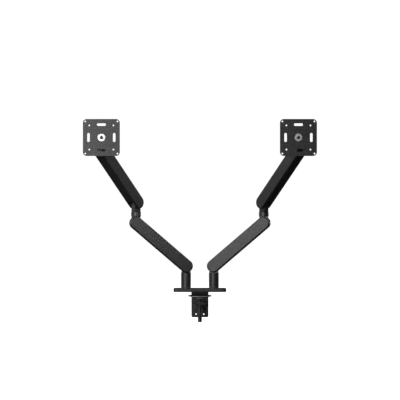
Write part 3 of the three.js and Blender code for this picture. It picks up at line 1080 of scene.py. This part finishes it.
def make_channel(side, stage):
    """The cast channel: hollow, with a mouth below at its lower end and above at its upper end."""
    place = sloping(stage, side)
    high = extent(f"{side}_{stage}_arm_channel", place)[1]
    half = high.z
    length = high.x - half
    outer = high.y
    inner = outer - sizes().wall
    channel = long_plate(f"{side}_{stage}_channel", length, half, -outer, outer)
    carve(channel, long_plate("hollow", length, half - sizes().web, -inner, inner))
    past = half + MM
    carve(channel, block("mouth", (-past, -inner, -past), (MOUTH, inner, MOUTH_RISE)))
    upper_low = (length - MOUTH, -inner, -MOUTH_RISE)
    carve(channel, block("mouth", upper_low, (length + past, inner, past)))
    for x in (0, length):
        carve(channel, bar("hole", "y", PIN_HOLE, -outer - MM, outer + MM, at=(x, 0, 0)))
    if stage == "lower":
        slot_low, slot_high = extent(f"{side}_cable_cover", place)
        gap = Vector((RUNNING_GAP, RUNNING_GAP, 0))
        slot_low.z, slot_high.z = -past, MM - half + sizes().web
        carve(channel, block("slot", slot_low - gap, slot_high + gap))
    soften(channel, 0.5 * MM)
    settle(channel, place, f"{side}_{stage}_arm", finish("cast"), f"{side}_{stage}_arm_channel")


def make_side_covers(side, stage):
    """The two cheeks that hide the pivots, each rounded all round its outer face."""
    place = sloping(stage, side)
    for flank in ("front", "back"):
        node = f"{side}_{stage}_arm_{flank}_cover"
        low, high = extent(node, place)
        out = 1 if high.y > 0 else -1
        length = high.x - high.z
        name = f"{side}_{stage}_{flank}_cheek"
        cover = long_plate(name, length, high.z, low.y, high.y, sides=146)
        round_rim(cover, sizes().cover_edge, (0, out, 0), segments=8)
        round_rim(cover, 0.25 * MM, (0, -out, 0), segments=2)
        settle(cover, place, f"{side}_{stage}_arm", finish("cover"), node, angle=30)


def make_cable_cover(side):
    """The clip-in strip under the lower arm, with grip ribs at both ends."""
    place = sloping("lower", side)
    low, high = extent(f"{side}_cable_cover", place)
    strip = round_rectangle(f"{side}_cable_strip", low, high, 2 * MM, "z")
    groove_radius = 0.8 * MM
    groove_depth = 0.6 * MM
    spacing = 2.2 * MM
    z = low.z - groove_radius + groove_depth
    for end in (low.x + 8 * MM, high.x - 8 * MM):
        for step in range(-2, 3):
            at = (end + step * spacing, 0, z)
            start, stop = low.y + 2 * MM, high.y - 2 * MM
            carve(strip, bar("groove", "y", groove_radius, start, stop, at=at, sides=16))
    soften(strip, 0.25 * MM)
    settle(strip, place, f"{side}_lower_arm", finish("cover"), f"{side}_cable_cover")


class MONITORARM_OT_arms(bpy.types.Operator):
    """Models the four arms' channels, side covers and cable covers"""

    bl_idname = "monitor_arm.arms"
    bl_label = "Arms"

    def execute(self, context):
        for side in SIDES:
            for stage in STAGES:
                make_channel(side, stage)
                make_side_covers(side, stage)
            make_cable_cover(side)
        return {"FINISHED"}


# ---------------------------------------------------------------- gas springs, links and pins

def make_gas_cylinder(side, stage):
    place = sloping(stage, side)
    low, high = extent(f"{side}_{stage}_gas_cylinder", place)
    radius = (high.z - low.z) / 2
    centre = (high.z + low.z) / 2
    bore = 3.4 * MM
    crimp = radius - 0.6 * MM
    tube = turned(f"{side}_{stage}_gas_tube", [
        (radius - 1.5 * MM, low.x),
        (radius, low.x + 1.5 * MM),
        (radius, high.x - 9 * MM),
        (crimp, high.x - 8 * MM),
        (crimp, high.x - 6.5 * MM),
        (radius, high.x - 5.5 * MM),
        (radius, high.x - 1.5 * MM),
        (radius - 1.5 * MM, high.x),
        (bore, high.x),
        (bore, high.x - 50 * MM),
    ], axis="x", at=(0, 0, centre), sides=48)
    settle(tube, place, f"{side}_{stage}_arm", finish("bolt"), f"{side}_{stage}_gas_cylinder")


def make_gas_rod(side, stage):
    place = sloping(stage, side)
    low, high = extent(f"{side}_{stage}_gas_rod", place)
    eye = (high.z - low.z) / 2
    centre = (high.z + low.z) / 2
    eye_x = high.x - eye
    rod = 3 * MM
    stem = turned(f"{side}_{stage}_gas_stem", [
        (rod - 0.4 * MM, low.x),
        (rod, low.x + 0.4 * MM),
        (rod, eye_x - 8 * MM),
        (rod - 0.6 * MM, eye_x - 7.4 * MM),
        (rod - 0.6 * MM, eye_x),
    ], axis="x", at=(0, 0, centre), sides=32)
    ring = bar("eye", "y", eye, -rod, rod, at=(eye_x, 0, centre), sides=40)
    soften(ring, 0.4 * MM)
    fuse(stem, ring)
    carve(stem, bar("hole", "y", eye / 2, -rod - MM, rod + MM, at=(eye_x, 0, centre), sides=32))
    settle(stem, place, f"{side}_{stage}_spring_rod", finish("chrome"), f"{side}_{stage}_gas_rod")


def make_link(side, stage):
    """The strip that keeps an elbow or a head upright while its arm lifts."""
    origin = joint_point(f"{side}_{stage}_link_swing")
    place = sloping(stage, side)
    place.translation = origin
    low, high = extent(f"{side}_{stage}_link", place)
    length = high.x - high.z
    strip = long_plate(f"{side}_{stage}_link_strip", length, high.z, low.y, high.y, sides=50)
    for x in (0, length):
        carve(strip, bar("hole", "y", 1.8 * MM, low.y - MM, high.y + MM, at=(x, 0, 0), sides=24))
    soften(strip, 0.25 * MM)
    settle(strip, place, f"{side}_{stage}_parallel_link", finish("steel"), f"{side}_{stage}_link")


def make_pin(side, stage, end):
    place = sloping(stage, side)
    node = f"{side}_{stage}_{end}_pin"
    low, high = extent(node, place)
    radius = (high.z - low.z) / 2
    groove = high.y - 1.6 * MM
    pin = turned(f"{node}_shaft", [
        (radius - 0.5 * MM, low.y),
        (radius, low.y + 0.5 * MM),
        (radius, groove),
        (radius - 0.5 * MM, groove + 0.1 * MM),
        (radius - 0.5 * MM, groove + 0.8 * MM),
        (radius, groove + 0.9 * MM),
        (radius, high.y - 0.5 * MM),
        (radius - 0.5 * MM, high.y),
    ], axis="y", at=((low.x + high.x) / 2, 0, 0), sides=40)
    settle(pin, place, f"{side}_{stage}_arm", finish("zinc"), node)


class MONITORARM_OT_springs(bpy.types.Operator):
    """Models what is inside the arms: gas springs, parallel links and pivot pins"""

    bl_idname = "monitor_arm.springs"
    bl_label = "Springs and Links"

    def execute(self, context):
        for side in SIDES:
            for stage in STAGES:
                make_gas_cylinder(side, stage)
                make_gas_rod(side, stage)
                make_link(side, stage)
                make_pin(side, stage, "pivot")
                make_pin(side, stage, "end")
        return {"FINISHED"}


# ---------------------------------------------------------------- elbows

FORK_SLOT = 3.5 * MM
FORK_TOP = 19 * MM
STUB = 6 * MM
STUB_RISE = 6 * MM
STUB_GAP = 0.4 * MM


def collar_rings(radius, bottom, top, lower_edge, upper_edge):
    """The rings of a collar with a small edge below and above."""
    return [
        (radius - lower_edge, bottom),
        (radius - 0.3 * lower_edge, bottom + 0.3 * lower_edge),
        (radius, bottom + lower_edge),
        (radius, top - upper_edge),
        (radius - 0.3 * upper_edge, top - 0.3 * upper_edge),
        (radius - upper_edge, top),
    ]


def hanging_lug(collar_z):
    """The lug below a collar: half-round under the pivot, straight up to the collar."""
    lug = bar("lug", "y", TONGUE_REACH, -TONGUE_HALF, TONGUE_HALF)
    enter_with(lug, "VERT", lambda point: point.co.z > HAIR)
    bpy.ops.transform.resize(value=(1, 1, 0), center_override=(0, 0, collar_z + 2 * MM))
    leave()
    step = link_step()
    boss = bar("boss", "y", 4.5 * MM, -TONGUE_HALF, TONGUE_HALF, at=(step.x, 0, step.z), sides=40)
    fuse(outward(lug), boss)
    soften(lug, 0.6 * MM)
    wide = 30 * MM
    return carve(lug, block("fork", (-wide, -FORK_SLOT, -wide), (wide, FORK_SLOT, FORK_TOP)))


def make_collar_base(side, stage):
    """The elbow base or head base at the upper end of an arm."""
    node, body, place, height = {
        "lower": (f"{side}_elbow_base", f"{side}_elbow", elbow_place(side), 7 * MM),
        "upper": (f"{side}_head_base", f"{side}_head", head_place(side), 5.6 * MM),
    }[stage]
    low, high = extent(node, place)
    radius = (high.y - low.y) / 2
    collar_top = high.z - STUB_RISE
    collar_z = collar_top - height
    rings = collar_rings(radius, collar_z, collar_top, 0.8 * MM, 0.8 * MM)
    rings += [(STUB, collar_top), (STUB, high.z - 0.5 * MM), (STUB - 0.5 * MM, high.z)]
    collar = turned(f"{node}_casting", rings, sides=96)
    fuse(collar, hanging_lug(collar_z), trunnion(0, TONGUE_HALF))
    carve(collar, pivot_hole())
    settle(collar, place, body, finish("cast"), node)


def make_washer(side, stage):
    """The thin nylon washer between a collar and what turns on it."""
    node, place, next_node, body = {
        "lower": (f"{side}_elbow_base", elbow_place(side), f"{side}_elbow_yoke", f"{side}_elbow"),
        "upper": (f"{side}_head_base", head_place(side), f"{side}_head_swivel", f"{side}_head"),
    }[stage]
    bottom = extent(node, place)[1].z - STUB_RISE + 0.02 * MM
    top = extent(next_node, place)[0].z - 0.02 * MM
    outer = extent(node, place)[1].y - 0.9 * MM
    inner = STUB + 0.15 * MM
    washer = turned(f"{side}_{stage}_washer", [
        (outer, bottom),
        (outer, top),
        (inner, top),
        (inner, bottom),
    ], sides=96)
    settle(washer, place, body, finish("nylon"))


def stub_bore(bottom):
    """What is cut from a collar for the stub below it."""
    return bar("bore", "z", STUB + STUB_GAP, bottom - MM, bottom + STUB_RISE + STUB_GAP)


def make_yoke(side):
    """The upper collar of the elbow, with the tongue that carries the upper arm."""
    place = yoke_place(side)
    node = f"{side}_elbow_yoke"
    low, high = extent(node, place)
    pivot = high.z - TONGUE_REACH
    collar_top = low.z + 7.2 * MM
    rings = collar_rings(COLLAR_RADIUS, low.z, collar_top, 0.8 * MM, 1.2 * MM)
    collar = turned(f"{side}_elbow_fork", rings, sides=96)
    fuse(collar, make_tongue(collar_top - 3 * MM, pivot))
    carve(collar, pivot_hole(pivot), stub_bore(low.z))
    fuse(collar, trunnion(pivot, TONGUE_HALF))
    settle(collar, place, f"{side}_yoke", finish("cast"), node)


class MONITORARM_OT_elbows(bpy.types.Operator):
    """Models the elbow bases, yokes, head bases and their washers"""

    bl_idname = "monitor_arm.elbows"
    bl_label = "Elbows"

    def execute(self, context):
        for side in SIDES:
            for stage in STAGES:
                make_collar_base(side, stage)
                make_washer(side, stage)
            make_yoke(side)
        return {"FINISHED"}


# ---------------------------------------------------------------- heads

TILT_HOLE = 4.4 * MM
HOLE_PATTERNS = (75 * MM, 100 * MM)
SCREW_HOLE = 2.6 * MM


def make_swivel(side):
    """The drum that turns on the head base, its cap, and the lug that carries the tilt bolt."""
    place = swivel_place(side)
    node = f"{side}_head_swivel"
    low, high = extent(node, place)
    radius = (high.y - low.y) / 2
    cap = 2 * MM
    tilt = screen_place(side)
    tilt_z = (tilt.translation - place.translation).z
    reach = (place.inverted() @ tilt.translation).x
    knuckle = high.x - reach
    lug_half = 7 * MM
    rings = collar_rings(radius, low.z, high.z - cap, 0.8 * MM, 0.5 * MM)
    drum = turned(f"{side}_swivel_drum", rings, sides=96)
    lug = long_plate("lug", reach, knuckle, -lug_half, lug_half, sides=66)
    soften(lug, 0.8 * MM)
    lug.data.transform(Matrix.Translation((0, 0, tilt_z)))
    carve(lug, block("flat", (-radius, -radius, high.z - cap), (radius, radius, high.z + 5 * MM)))
    fuse(drum, lug)
    carve(drum, bar("hole", "y", TILT_HOLE, -lug_half - MM, lug_half + MM, at=(reach, 0, tilt_z)))
    carve(drum, stub_bore(low.z))
    settle(drum, place, f"{side}_swivel", finish("cast"), node)
    lid = turned(f"{side}_swivel_cap", [
        (radius - 0.6 * MM, high.z - cap + 0.05 * MM),
        (radius - 0.3 * MM, high.z - cap + 0.3 * MM),
        (radius - 0.3 * MM, high.z - 0.9 * MM),
        (radius - 1.2 * MM, high.z - 0.1 * MM),
        (radius - 2.4 * MM, high.z),
        (radius - 4 * MM, high.z),
        (radius - 4.3 * MM, high.z - 0.3 * MM),
    ], sides=96)
    settle(lid, place, f"{side}_swivel", finish("cover"))


def make_tilt_block(side):
    """The fork that tilts on the bolt, with the disc and stub that the screen plate turns on."""
    place = screen_place(side)
    node = f"{side}_tilt_block"
    low, high = extent(node, place)
    ear_outer = 12.3 * MM
    throat = 7.3 * MM
    knuckle = -low.x
    backing = 12 * MM
    disc_radius = high.z
    disc_end = backing + 6 * MM
    stub = 7 * MM
    wall = 1.5 * MM
    wide = 30 * MM
    deep = 20 * MM
    fork = long_plate(f"{side}_tilt_fork", backing, knuckle, -ear_outer, ear_outer, sides=66)
    carve(fork, block("trim", (backing + wall, -wide, -wide), (2 * wide, wide, wide)))
    soften(fork, 0.8 * MM)
    carve(fork, block("throat", (-deep, -throat, -deep), (backing - wall, throat, deep)))
    disc = turned("disc", [
        (disc_radius - 2.5 * MM, backing),
        (disc_radius - 0.8 * MM, backing + 0.8 * MM),
        (disc_radius, backing + 2.2 * MM),
        (disc_radius, disc_end - 0.6 * MM),
        (disc_radius - 0.6 * MM, disc_end),
        (stub, disc_end),
        (stub, high.x - 0.6 * MM),
        (stub - 0.6 * MM, high.x),
    ], axis="x", sides=96)
    fuse(fork, disc)
    carve(fork, bar("hole", "y", TILT_HOLE, -ear_outer - MM, ear_outer + MM))
    carve(fork, bar("thread", "x", 2.2 * MM, high.x - 8 * MM, high.x + MM, sides=32))
    settle(fork, place, f"{side}_tilt", finish("cast"), node)


def make_tilt_bolt(side):
    """The bolt through the tilt fork, with a button head and a nut."""
    place = screen_place(side)
    node = f"{side}_tilt_bolt"
    low, high = extent(node, place)
    shank = 4 * MM
    ear_outer = 12.6 * MM
    length = ear_outer - low.y - RUNNING_GAP
    bolt = socket_bolt(f"{side}_tilt_button_bolt", high.x, high.y - ear_outer, shank, length)
    place_head = place @ Matrix.Translation((0, ear_outer, 0)) @ Matrix.Rotation(QUARTER, 4, "X")
    nut_radius, nut_height = 7.2 * MM, 4 * MM
    nut = bar("nut", "z", nut_radius, 0, nut_height, sides=6)
    nut.data.transform(Matrix.Translation((0, 0, 2 * ear_outer)))
    soften(nut, 0.5 * MM)
    fuse(bolt, nut)
    settle(bolt, place_head, f"{side}_tilt", finish("bolt"), node)


def make_screen_plate(side):
    """The square plate that a screen is screwed to, with a drawn boss and two hole patterns."""
    place = screen_place(side)
    node = f"{side}_vesa_plate"
    low, high = extent(node, place)
    thick = 3 * MM
    boss_radius = 22 * MM
    face = high.x
    back = face - thick
    sheet_low = Vector((back, low.y, low.z))
    corner = sizes().plate_corner
    plate = round_rectangle(f"{side}_screen_plate_sheet", sheet_low, high, corner, "x")
    boss = turned("boss", [
        (boss_radius - 1.2 * MM, low.x),
        (boss_radius, low.x + 1.2 * MM),
        (boss_radius + 0.8 * MM, back - 0.6 * MM),
        (boss_radius + 2.5 * MM, back + 0.2 * MM),
        (boss_radius + 2.5 * MM, back + 0.4 * MM),
    ], axis="x", sides=96)
    fuse(plate, boss)
    carve(plate, bar("bore", "x", 7.4 * MM, low.x - MM, face + MM, sides=64))
    recess = 13 * MM
    carve(plate, turned("recess", [(recess, face - 1.6 * MM), (recess, face + MM)], axis="x"))
    for pattern in HOLE_PATTERNS:
        for y in (-pattern / 2, pattern / 2):
            for z in (-pattern / 2, pattern / 2):
                hole = bar("hole", "x", SCREW_HOLE, back - MM, face + MM, at=(0, y, z), sides=32)
                carve(plate, hole)
    cut_windows(plate, face, thick)
    soften(plate, sizes().fine_edge)
    settle(plate, place, f"{side}_screen_plate", finish("steel"), node)


def cut_windows(plate, face, thick):
    """Four long windows between the hole patterns, which make the plate lighter."""
    reach = 40 * MM
    half_width = 4 * MM
    half_length = 14 * MM
    for turn in range(4):
        window = block("window", (face - thick - MM, -half_length, reach - half_width),
                       (face + MM, half_length, reach + half_width))
        round_edges(window, half_width * 0.98, lambda a, b: along(a - b, 0), segments=10)
        window.data.transform(Matrix.Rotation(turn * QUARTER, 4, "X"))
        carve(plate, window)


def make_retainer(side):
    """The washer and screw that hold the screen plate on the stub, sunk in the plate's face."""
    place = screen_place(side)
    stub_end = extent(f"{side}_tilt_block", place)[1].x
    face = extent(f"{side}_vesa_plate", place)[1].x
    washer = turned(f"{side}_plate_washer", [
        (12.2 * MM, face - 1.5 * MM),
        (12.2 * MM, face - 0.7 * MM),
        (11.8 * MM, face - 0.3 * MM),
        (2.9 * MM, face - 0.3 * MM),
        (2.9 * MM, stub_end + 0.05 * MM),
        (6.0 * MM, stub_end + 0.05 * MM),
        (6.0 * MM, face - 1.5 * MM),
    ], axis="x", sides=64)
    settle(washer, place, f"{side}_tilt", finish("zinc"))
    screw = turned(f"{side}_plate_screw", [
        (2.1 * MM, stub_end - 7 * MM),
        (2.1 * MM, face - 0.25 * MM),
        (5.0 * MM, face - 0.25 * MM),
        (5.0 * MM, face + 0.9 * MM),
        (4.3 * MM, face + 1.7 * MM),
        (2.8 * MM, face + 2.1 * MM),
    ], axis="x", sides=40)
    carve(screw, bar("socket", "x", 1.8 * MM, face + 0.7 * MM, face + 3 * MM, sides=6))
    soften(screw, 0.12 * MM)
    settle(screw, place, f"{side}_tilt", finish("bolt"))


class MONITORARM_OT_heads(bpy.types.Operator):
    """Models the swivels, tilt forks, screen plates and their fasteners"""

    bl_idname = "monitor_arm.heads"
    bl_label = "Heads"

    def execute(self, context):
        for side in SIDES:
            make_swivel(side)
            make_tilt_block(side)
            make_tilt_bolt(side)
            make_screen_plate(side)
            make_retainer(side)
        return {"FINISHED"}


# ---------------------------------------------------------------- stage

class MonitorArmStage(bpy.types.PropertyGroup):
    """The studio: camera, lights and floor."""

    camera_distance: bpy.props.FloatProperty(
        name="Camera Distance", description="From posts to camera", default=5.6, unit="LENGTH"
    )
    camera_height: bpy.props.FloatProperty(
        name="Camera Height", description="Above the desk top", default=0.2957, unit="LENGTH"
    )
    view_width: bpy.props.FloatProperty(
        name="View Width", description="Width seen at the posts", default=1.294, unit="LENGTH"
    )
    key_power: power_property("Key Light", "Tall light, front left, for the lines down the posts", 50)
    left_power: power_property("Left Light", "Light at the far left, for the elbows", 14)
    side_power: power_property("Side Light", "Narrow light, front right, for the left arm", 110)
    top_power: power_property("Top Light", "Light overhead", 40)
    front_power: power_property("Front Light", "Low light at the front, for the clamp", 3)
    back_power: power_property("Back Lights", "Each of the two lights behind", 34)
    surround: bpy.props.FloatProperty(
        name="Surround", description="Strength of the even light from all round", default=0.02
    )
    floor_gap: length_property("Floor Gap", "From the clamp's lowest point to the floor", 60)
    dome_radius: length_property("Dome Radius", "Radius of the pale dome round the studio", 14000)


CAMERA_ASIDE = 0.3 * MM


def add_light(name, kind, place, target, power):
    """A light at a place, turned to face its target."""
    deselect()
    bpy.ops.object.light_add(type=kind, location=place)
    light = bpy.context.object
    light.name = name
    light.data.energy = power
    aim = Vector(target) - Vector(place)
    light.rotation_euler = aim.to_track_quat("-Z", "Y").to_euler()
    return light.data


def add_panel(name, place, target, size, power):
    """A flat rectangular light."""
    light = add_light(name, "AREA", place, target, power)
    light.shape = "RECTANGLE"
    light.size, light.size_y = size


def add_spot(name, place, target, cone, power):
    """A soft-edged narrow light, brightest along its aim."""
    light = add_light(name, "SPOT", place, target, power)
    light.spot_size = math.radians(cone)
    light.spot_blend = 1.0
    light.shadow_soft_size = 0.3


def make_floor(stage):
    """A wide pale floor under a wide pale dome, which are seen but throw no light on the arm."""
    bottom = CAD_LOW[2] - stage.floor_gap
    deselect()
    bpy.ops.mesh.primitive_uv_sphere_add(
        segments=64, ring_count=32, radius=stage.dome_radius, location=(0, 0, bottom)
    )
    dome = named("studio_dome")
    enter_with(dome, "VERT", lambda point: point.co.z < bottom)
    bpy.ops.transform.resize(value=(1, 1, 0), center_override=(0, 0, bottom))
    bpy.ops.mesh.select_all(action="SELECT")
    bpy.ops.mesh.flip_normals()
    leave()
    material = bpy.data.materials.new("pale_backdrop")
    material.use_nodes = True
    shader = material.node_tree.nodes["Principled BSDF"]
    shader.inputs["Base Color"].default_value = (0.9, 0.9, 0.9, 1)
    shader.inputs["Roughness"].default_value = 0.9
    shader.inputs["Emission Color"].default_value = (1, 1, 1, 1)
    shader.inputs["Emission Strength"].default_value = 1.0
    dome.data.materials.append(material)
    dome.visible_diffuse = False
    dome.visible_glossy = False
    dome.visible_shadow = False


def make_world(stage):
    world = bpy.data.worlds.new("studio")
    world.use_nodes = True
    bpy.context.scene.world = world
    background = world.node_tree.nodes["Background"]
    background.inputs["Color"].default_value = (1, 1, 1, 1)
    background.inputs["Strength"].default_value = stage.surround


class MONITORARM_OT_stage(bpy.types.Operator):
    """Sets the camera, the lights and the floor"""

    bl_idname = "monitor_arm.stage"
    bl_label = "Stage"

    def execute(self, context):
        stage = context.scene.monitor_arm_stage
        context.scene.view_settings.view_transform = "Standard"
        deselect()
        place = (CAMERA_ASIDE, -stage.camera_distance, stage.camera_height)
        bpy.ops.object.camera_add(location=place, rotation=(QUARTER, 0, 0))
        camera = context.object
        camera.name = "studio_camera"
        camera.data.lens = camera.data.sensor_width * stage.camera_distance / stage.view_width
        camera.data.clip_end = 100
        context.scene.camera = camera
        middle = (0, 0, 0.25)
        add_panel("key_light", (-1.25, -2.8, 0.8), middle, (0.7, 1.5), stage.key_power)
        add_panel("left_light", (-2.6, -0.9, 0.9), middle, (0.9, 1.0), stage.left_power)
        left_arm = (-0.36, 0, 0.42)
        add_spot("side_light", (1.1, -2.6, 0.75), left_arm, 22, stage.side_power)
        add_panel("top_light", (0, -0.2, 2.6), middle, (2.4, 1.6), stage.top_power)
        clamp = (0, 0, -0.04)
        add_panel("front_light", (-0.3, -3.2, -0.05), clamp, (0.7, 0.3), stage.front_power)
        for direction in SIDES.values():
            behind = (direction * 2.3, 2.2, 1.2)
            add_panel("back_light", behind, middle, (2.4, 2.0), stage.back_power)
        make_floor(stage)
        make_world(stage)
        return {"FINISHED"}


# ---------------------------------------------------------------- add-on

PIECE_OPERATORS = (
    MONITORARM_OT_stage,
    MONITORARM_OT_base,
    MONITORARM_OT_clamp,
    MONITORARM_OT_clamp_screw,
    MONITORARM_OT_posts,
    MONITORARM_OT_arms,
    MONITORARM_OT_springs,
    MONITORARM_OT_elbows,
    MONITORARM_OT_heads,
)


class MONITORARM_PT_panel(bpy.types.Panel):
    """Lists the monitor arm's operators"""

    bl_idname = "MONITORARM_PT_panel"
    bl_label = "Monitor Arm"
    bl_space_type = "VIEW_3D"
    bl_region_type = "UI"
    bl_category = "Monitor Arm"

    def draw(self, context):
        for operator in PIECE_OPERATORS:
            self.layout.operator(operator.bl_idname)


PROPERTY_GROUPS = {
    "monitor_arm_sizes": MonitorArmSizes,
    "monitor_arm_looks": MonitorArmLooks,
    "monitor_arm_stage": MonitorArmStage,
}


def register():
    for name, group in PROPERTY_GROUPS.items():
        bpy.utils.register_class(group)
        setattr(bpy.types.Scene, name, bpy.props.PointerProperty(type=group))
    for cls in (*PIECE_OPERATORS, MONITORARM_PT_panel):
        bpy.utils.register_class(cls)


def unregister():
    for cls in reversed((*PIECE_OPERATORS, MONITORARM_PT_panel)):
        bpy.utils.unregister_class(cls)
    for name, group in PROPERTY_GROUPS.items():
        delattr(bpy.types.Scene, name)
        bpy.utils.unregister_class(group)


def main():
    register()
    for operator in PIECE_OPERATORS:
        group, call = operator.bl_idname.split(".")
        getattr(getattr(bpy.ops, group), call)()


if __name__ == "__main__":
    main()
